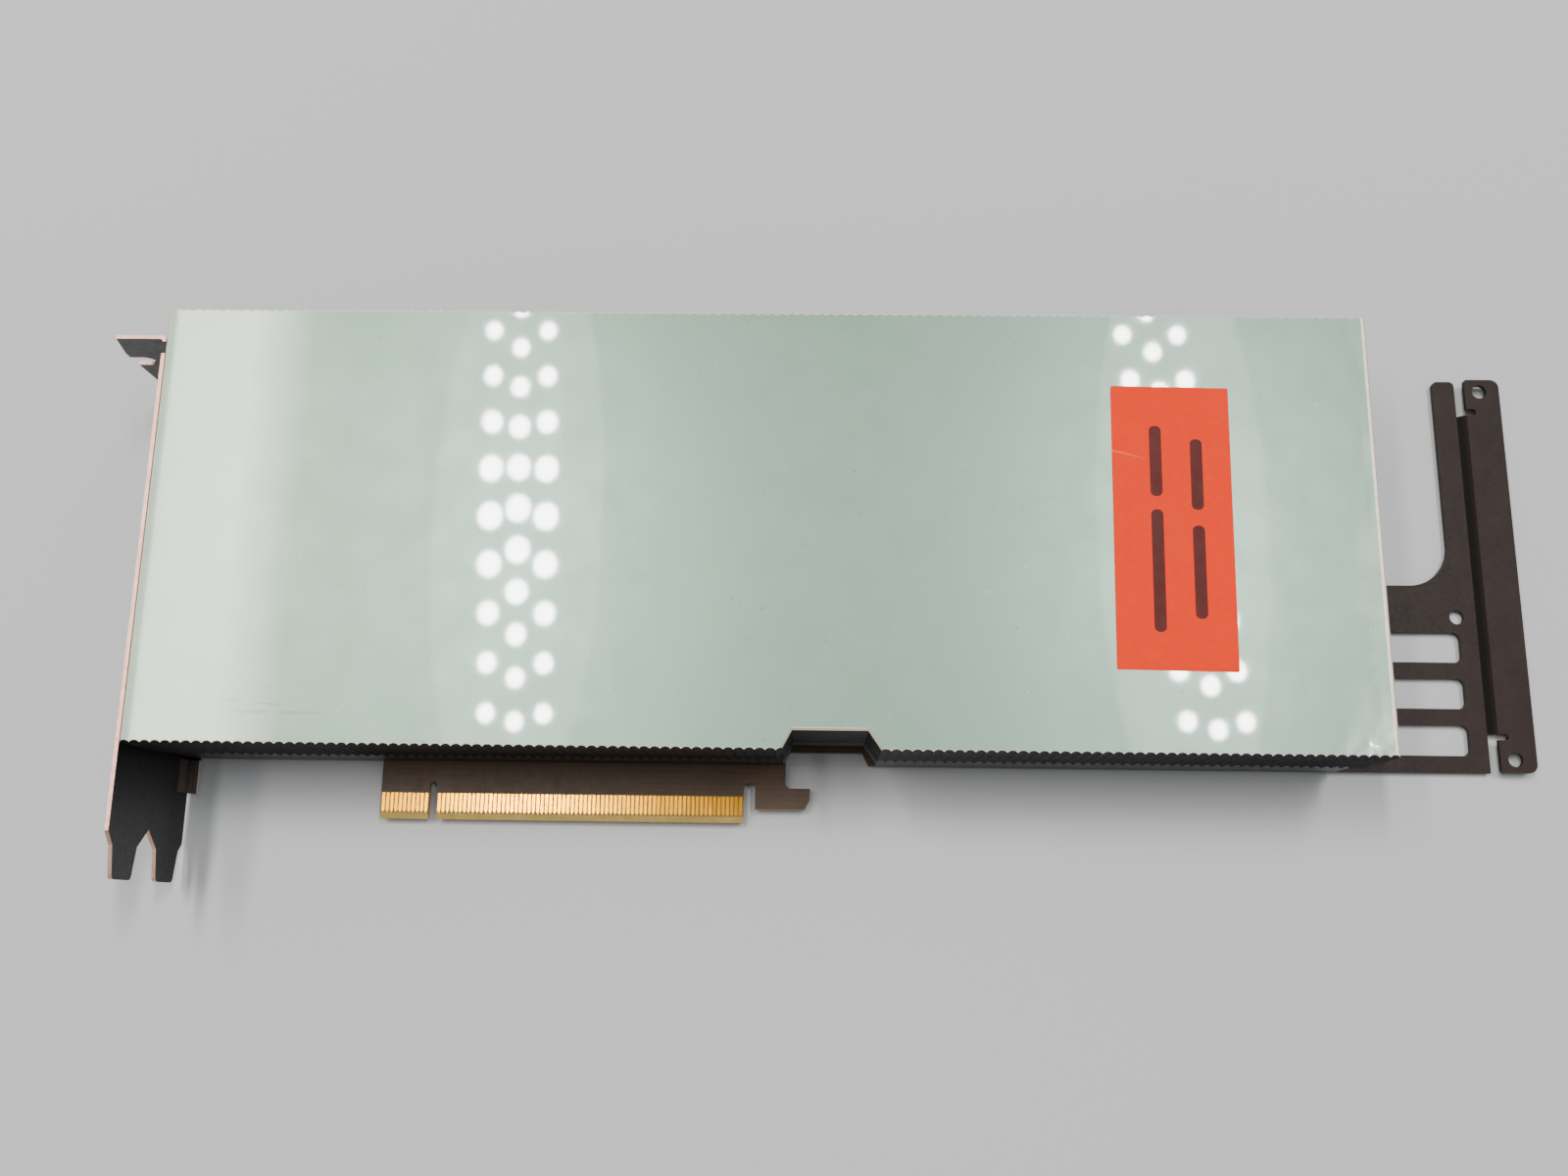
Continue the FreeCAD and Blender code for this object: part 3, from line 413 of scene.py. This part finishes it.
def bracket_look():
    """Black coat on bent steel, bare and bright on its cut edges, with painted sheen on its lower ear's foot.
    """
    look = Look("bracket_coat", Specular_IOR_Level=0.3)
    black = wear(look, rgb(12, 12, 14), rgb(20, 19, 21), 120.0)
    steel = wear(look, rgb(226, 176, 158), rgb(206, 158, 144), 400.0)
    y = look.axis("Y")
    z = look.axis("Z")
    sheet_edge = look.both(look.steep("Z", 0.9), look.over(z, SHEET_EDGE_ABOVE_MM))
    tip_edge = look.both(look.steep("Y", 0.3), look.under(y, TIP_EDGE_BELOW_MM))
    cut = look.maths("MAXIMUM", sheet_edge, tip_edge)

    # Painted sheen: grey streaks over the coat on the lower ear's foot stand in for light caught there.
    foot = look.both(look.under(z, FOOT_BELOW_MM), look.between(y, *FOOT_Y_MM, 0.05))
    foot = look.both(foot, look.over(look.facing("X"), -0.1))
    sheen_streaks = look.noise(1500.0, 2.0, 0.5, look.stretched(1.0, 0.05, 1.0))
    painted_light_and_bare_tip = look.mix(look.ramp(sheen_streaks, 0.3, 0.7), rgb(122, 110, 104), rgb(84, 74, 70))
    # Painted shade: a dark line along the ear's fold.
    painted_light_and_bare_tip = look.mix(look.between(z, *FOOT_FOLD_SHADE_MM, 0.1), painted_light_and_bare_tip, rgb(26, 24, 24))
    # The ear's end is a bare cut edge.
    tip = look.both(look.under(z, FOOT_TIP_BELOW_MM), look.over(look.facing("X"), 0.9))
    painted_light_and_bare_tip = look.mix(tip, painted_light_and_bare_tip, rgb(250, 240, 226))

    look.set("Base Color", look.mix(foot, look.mix(cut, black, steel), painted_light_and_bare_tip))
    look.set("Metallic", look.ramp(look.maths("MAXIMUM", cut, foot), 0.0, 1.0, 0.2, 0.6))
    look.rough(look.noise(700.0, 3.0), 0.3, 0.42)
    look.bump(look.noise(2600.0, 2.0), 0.2, 0.00004)
    return look.material


def extender_look():
    """Brown-black powder coat with a fine orange-peel grain, darker on its cut edges, with painted shade in
    its fold.
    """
    look = Look("extender_coat", Specular_IOR_Level=0.2)
    coat = wear(look, rgb(44, 32, 28), rgb(51, 37, 32), 110.0)
    dark = rgb(22, 18, 16)
    upright = look.maths("SUBTRACT", 1.0, look.steep("Z", 0.4))
    folded = look.maths("SUBTRACT", 1.0, look.steep("Z", 0.9))
    # Painted shade: the fold's sloped faces are darkest at its lower end and lighten towards its upper end.
    fold_end = plan(BOARD_HIGH).x + FOLD_FROM_BOARD_MM
    shade = look.both(folded, look.ramp(look.axis("X"), fold_end - FOLD_SHADE_MM, fold_end, 1.0, 0.25))
    look.set("Base Color", look.mix(look.maths("MAXIMUM", upright, shade), coat, dark))
    look.rough(look.noise(1200.0, 3.0), 0.42, 0.54)
    look.bump(look.noise(2400.0, 3.0), 0.25, 0.00005)
    return look.material


def fin_look():
    """Rolled aluminium with a lengthwise grain."""
    look = Look("fins", Metallic=1.0)
    grain = look.noise(1500.0, 3.0, 0.5, look.stretched(0.03, 1.0, 1.0))
    look.set("Base Color", look.mix(look.ramp(grain, 0.3, 0.7), rgb(206, 207, 210), rgb(184, 186, 190)))
    look.rough(grain, 0.26, 0.4)
    look.bump(grain, 0.1, 0.00003)
    return look.material


def dress_nodes():
    """Gives every node that keeps its own mesh a material of its own."""
    ferrite = (rgb(84, 84, 86), rgb(98, 98, 100), 0.6)
    chip = (rgb(24, 24, 26), rgb(36, 36, 38), 0.5)
    zinc = (rgb(60, 60, 62), rgb(78, 78, 80), 0.32, 1.0)
    looks = {
        "cover": cover_look(),
        "heatsink_frame": plain_look("frame_black", rgb(24, 25, 28), rgb(32, 33, 36), 0.42),
        "circuit_board": board_look(),
        "package_substrate": plain_look("substrate", rgb(30, 60, 36), rgb(38, 70, 44), 0.4),
        "package_stiffener": plain_look("stiffener", rgb(190, 188, 184), rgb(170, 168, 164), 0.35, 1.0),
        "processor_die": plain_look("die", rgb(52, 54, 62), rgb(62, 64, 72), 0.15),
        "memory_stacks": plain_look("memory", rgb(46, 48, 54), rgb(56, 58, 64), 0.2),
        "thermal_interface": plain_look("interface", rgb(150, 150, 154), rgb(166, 166, 170), 0.7),
        "vapour_chamber": plain_look("chamber", rgb(196, 190, 182), rgb(180, 172, 164), 0.3, 1.0),
        "fin_stack": fin_look(),
        "power_chokes": plain_look("choke_ferrite", *ferrite),
        "thermal_pads": plain_look("pads", rgb(150, 156, 168), rgb(164, 168, 178), 0.8),
        "power_stages": plain_look("stages", *chip),
        "input_chokes": plain_look("input_ferrite", *ferrite),
        "polymer_capacitors": plain_look("polymer", rgb(40, 38, 36), rgb(52, 48, 44), 0.45),
        "controller_chips": plain_look("controllers", *chip),
        "management_chip": plain_look("manager", *chip),
        "power_connector": plain_look("nylon", rgb(20, 20, 22), rgb(32, 32, 34), 0.4),
        "power_pins": gold_look("pin_plating"),
        "backplate": plain_look("backplate_black", rgb(28, 29, 32), rgb(38, 39, 42), 0.4),
        "insulating_sheet": plain_look("insulator", rgb(18, 18, 18), rgb(26, 26, 26), 0.5),
        "frame_screws": plain_look("frame_screw_zinc", *zinc),
        "bracket_screws": plain_look("bracket_screw_zinc", *zinc),
        "extender_screws": plain_look("extender_screw_zinc", *zinc),
        "io_bracket": bracket_look(),
        "extender_bracket": extender_look(),
    }
    for node, material in looks.items():
        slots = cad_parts[node].data.materials
        slots.clear()
        slots.append(material)


def add_piece(name, mesh, materials, node):
    """A piece of the object made here, in place of a node."""
    data = bpy.data.meshes.new(name)
    mesh.to_mesh(data)
    mesh.free()
    for material in materials:
        data.materials.append(material)
    piece = bpy.data.objects.new(name, data)
    bpy.context.scene.collection.objects.link(piece)
    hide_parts(node)
    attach(piece, "root")
    return piece


def flute_bite(x, step):
    """How far, in millimetres, a flute cuts into the cover's long edge at a distance along it."""
    radius = step ** 2 / (8 * FLUTE_DEPTH_MM) + FLUTE_DEPTH_MM / 2
    from_middle = (x % step) - step / 2
    return FLUTE_DEPTH_MM - radius + math.sqrt(radius ** 2 - from_middle ** 2)


def recess_rise(x):
    """How far, in millimetres, the latch recess cuts into the cover's lower edge at a place along it."""
    up = (x - RECESS_LEFT_MM) / RECESS_LEAN_LEFT_MM
    down = (RECESS_RIGHT_MM - x) / RECESS_LEAN_RIGHT_MM
    return RECESS_DEPTH_MM * max(0.0, min(1.0, up, down))


def crumple(x, y, corner_x, corner_y):
    """How far, in millimetres, the film lifts: in folds at its lower rear corner, in waves at its rear end."""
    away_x = (corner_x - x) / CRUMPLE_REACH_X_MM
    away_y = (y - corner_y) / CRUMPLE_REACH_Y_MM
    near_corner = math.exp(-away_x ** 2 - away_y ** 2)
    near_end = math.exp(-((corner_x - x) / WAVE_REACH_MM) ** 2)
    folds = abs(noise.noise(Vector((x * 0.33, y * 0.5, 3.7))))
    waves = abs(noise.noise(Vector((x * 0.15, y * 0.06, 9.1))))
    return near_corner * (CRUMPLE_LIFT_MM + CRUMPLE_FOLD_MM * folds) + near_end * WAVE_HEIGHT_MM * waves


def film_rows(low, high):
    """Places across the film, close together near its lower edge where it is creased."""
    rows = [low + row * CREASED_BAND_MM / CREASED_ROWS for row in range(CREASED_ROWS)]
    rest = high - low - CREASED_BAND_MM
    return rows + [low + CREASED_BAND_MM + row * rest / PLAIN_ROWS for row in range(PLAIN_ROWS + 1)]


def add_sheet(mesh, columns, thickness):
    """A closed sheet under a grid of points, smooth above and below, with sharp borders."""
    top = [[mesh.verts.new(point) for point in column] for column in columns]
    under = [[mesh.verts.new(point - Vector((0, 0, thickness))) for point in column] for column in columns]
    last = len(top) - 1
    end = len(top[0]) - 1
    for a in range(last):
        for b in range(end):
            upper = top[a][b], top[a + 1][b], top[a + 1][b + 1], top[a][b + 1]
            lower = under[a][b], under[a][b + 1], under[a + 1][b + 1], under[a + 1][b]
            mesh.faces.new(upper).smooth = True
            mesh.faces.new(lower).smooth = True
    ring = [(a, 0) for a in range(last)] + [(last, b) for b in range(end)]
    ring += [(a, end) for a in range(last, 0, -1)] + [(0, b) for b in range(end, 0, -1)]
    for (a, b), (c, d) in zip(ring, ring[1:] + ring[:1]):
        side = mesh.faces.new((under[a][b], under[c][d], top[c][d], top[a][b]))
        for edge in side.edges:
            edge.smooth = False


def make_film():
    """The clear film on the cover's face, cut along the flutes and the latch recess."""
    cover_low = plan(COVER_LOW)
    cover_high = plan(COVER_HIGH)
    step = (cover_high.x - cover_low.x) / FLUTES
    left = cover_low.x + EDGE_CHAMFER_MM + FILM_INSET_MM
    right = cover_high.x - FILM_SHORT_MM
    count = FLUTES * COLUMNS_PER_FLUTE
    columns = []
    for index in range(count + 1):
        x = left + (right - left) * index / count
        bite = flute_bite(x - cover_low.x, step) + FILM_INSET_MM
        rise = recess_rise(x)
        low = cover_low.y + (bite if rise == 0.0 else rise + EDGE_CHAMFER_MM + FILM_INSET_MM)
        column = []
        for y in film_rows(low, cover_high.y - bite):
            lift = crumple(x, y, right, cover_low.y)
            column.append(at(x, y, cover_high.z + FILM_THICKNESS_MM + lift))
        columns.append(column)
    mesh = bmesh.new()
    add_sheet(mesh, columns, FILM_SHEET_MM * MM)
    add_piece("clear_film", mesh, [film_look()], "protective_film")


def rounded(width, height, radius, steps=4):
    """The outline of a rectangle with rounded corners, about its middle."""
    points = []
    for turn, (side, end) in enumerate(((1, 1), (-1, 1), (-1, -1), (1, -1))):
        middle = Vector((side * (width / 2 - radius), end * (height / 2 - radius)))
        for part in range(steps + 1):
            angle = math.radians(90 * (turn + part / steps))
            points.append(middle + radius * Vector((math.cos(angle), math.sin(angle))))
    return points


def add_prism(mesh, points, low, high, slot=0):
    """A closed prism on an outline, with its sides upright."""
    floor = [mesh.verts.new((*point, low)) for point in points]
    roof = [mesh.verts.new((*point, high)) for point in points]
    faces = [mesh.faces.new(reversed(floor)), mesh.faces.new(roof)]
    for index in range(len(points)):
        follower = (index + 1) % len(points)
        faces.append(mesh.faces.new((floor[index], floor[follower], roof[follower], roof[index])))
    for face in faces:
        face.material_index = slot


def make_label():
    """The orange label on the film, with two rows of plain bars in place of its print."""
    mesh = bmesh.new()
    paper = rounded(LABEL_WIDTH_MM, LABEL_HEIGHT_MM, LABEL_CORNER_MM, 2)
    add_prism(mesh, paper, LABEL_UNDER_MM, LABEL_TOP_MM)
    for across, bars in BAR_ROWS_MM:
        for along, length in bars:
            middle = Vector((across, along))
            bar = [middle + point for point in rounded(BAR_WIDTH_MM, length, BAR_CORNER_MM)]
            add_prism(mesh, bar, BAR_UNDER_MM, BAR_TOP_MM, 1)
    middle = plan((LABEL_LOW + LABEL_HIGH) / 2)
    surface = plan(FILM_HIGH).z
    cosine, sine = math.cos(LABEL_TILT), math.sin(LABEL_TILT)
    for vertex in mesh.verts:
        x, y, z = vertex.co
        vertex.co = at(middle.x + x * cosine - y * sine, middle.y + x * sine + y * cosine, surface + z)
    ink = plain_look("label_ink", rgb(82, 12, 4), rgb(96, 18, 8), 0.7)
    add_piece("peel_label", mesh, [label_look(), ink], "film_label")


def make_contacts(name, node, surface, side):
    """One side's row of contact pads, each with a pointed lower end."""
    mesh = bmesh.new()
    half = CONTACT_WIDTH_MM / 2
    shoulder = CONTACT_LOW_MM + CONTACT_POINT_MM
    middles = [-KEY_TO_CONTACT_MM - index * CONTACT_PITCH_MM for index in range(CONTACTS_BEFORE_KEY)]
    middles += [KEY_TO_CONTACT_MM + index * CONTACT_PITCH_MM for index in range(CONTACTS_AFTER_KEY)]
    for x in middles:
        outline = [(x, CONTACT_LOW_MM), (x + half, shoulder), (x + half, CONTACT_HIGH_MM),
                   (x - half, CONTACT_HIGH_MM), (x - half, shoulder)]
        add_prism(mesh, outline, surface, surface + side * CONTACT_THICKNESS_MM)
    for vertex in mesh.verts:
        vertex.co = at(*vertex.co)
    bmesh.ops.recalc_face_normals(mesh, faces=mesh.faces)
    add_piece(name, mesh, [gold_look(name + "_gold")], node)


def area_light(name, x, y, size, power, colour=(1.0, 1.0, 1.0), shape="ELLIPSE"):
    """A light at the lights' height that looks straight down."""
    data = bpy.data.lights.new(name, "AREA")
    data.shape = shape
    data.size, data.size_y = size
    data.energy = power
    data.color = colour
    light = bpy.data.objects.new(name, data)
    light.location = (x, y, LIGHT_HEIGHT)
    bpy.context.scene.collection.objects.link(light)


def build_lamps():
    """Two rows of small round lamps, three abreast, each row in a faint glow, for the film to reflect."""
    for name, foot, lean in LAMP_ROWS:
        for strip, (aside, pitch, count, start) in enumerate(LAMP_STRIPS):
            for index in range(count):
                y = start + index * pitch
                size = LAMP_SIZE + LAMP_SWELL * math.exp(-((y - LAMP_MIDDLE) / LAMP_SWELL_REACH) ** 2)
                power = LAMP_POWER * (size / LAMP_POWER_SIZE) ** 2
                lamp = f"{name}_lamp_{strip}_{index}"
                area_light(lamp, foot + aside + lean * y, y, (size, size * LAMP_STRETCH), power)
        for number, width in enumerate(GLOW_WIDTHS):
            size = (width, GLOW_LENGTH + 2 * width)
            power = GLOW_POWER * math.pi * size[0] * size[1]
            area_light(f"{name}_glow_{number}", foot + lean * LAMP_MIDDLE, LAMP_MIDDLE, size, power)


def build_window():
    """A broad pale panel on the left, whose light falls off in steps along its right edge."""
    solid = WINDOW_RIGHT - WINDOW_STEPS * WINDOW_STEP
    strips = [((WINDOW_LEFT + solid) / 2, solid - WINDOW_LEFT, 1.0)]
    for index in range(WINDOW_STEPS):
        share = 1.0 - (index + 1) / (WINDOW_STEPS + 1)
        strips.append((solid + (index + 0.5) * WINDOW_STEP, WINDOW_STEP, share))
    for number, (x, width, share) in enumerate(strips):
        size = (width, WINDOW_DEPTH)
        power = WINDOW_POWER * width * share
        area_light(f"window_{number}", x, WINDOW_MIDDLE, size, power, WINDOW_COLOUR, "RECTANGLE")


def build_stage():
    """The pale floor, the lights and the room's own light."""
    bpy.ops.mesh.primitive_plane_add(size=FLOOR_SIZE, location=(0, 0, 0))
    floor = bpy.context.object
    floor.name = "floor"
    look = Look("floor_paper", Roughness=0.8)
    look.set("Base Color", look.mix(look.noise(3.0, 4.0), rgb(206, 207, 208), rgb(214, 214, 214)))
    look.bump(look.noise(600.0, 3.0), 0.1, 0.0002)
    floor.data.materials.append(look.material)
    build_lamps()
    build_window()
    world = bpy.data.worlds.new("room")
    world.use_nodes = True
    background = world.node_tree.nodes["Background"]
    background.inputs["Color"].default_value = ROOM_COLOUR
    background.inputs["Strength"].default_value = ROOM_STRENGTH
    bpy.context.scene.world = world


def build_camera():
    """The camera of the photo."""
    data = bpy.data.cameras.new("camera")
    data.lens = CAMERA_LENS_MM
    data.sensor_width = CAMERA_SENSOR_MM
    data.clip_start = CAMERA_NEAREST
    camera = bpy.data.objects.new("camera", data)
    camera.location = CAMERA_PLACE
    camera.rotation_euler = CAMERA_TURN
    bpy.context.scene.collection.objects.link(camera)
    bpy.context.scene.camera = camera


dress_nodes()
make_film()
make_label()
make_contacts("front_pads", "front_contacts", 0.0, 1)
make_contacts("rear_pads", "rear_contacts", (BOARD_LOW.z - BOARD_HIGH.z) / MM, -1)
build_stage()
build_camera()
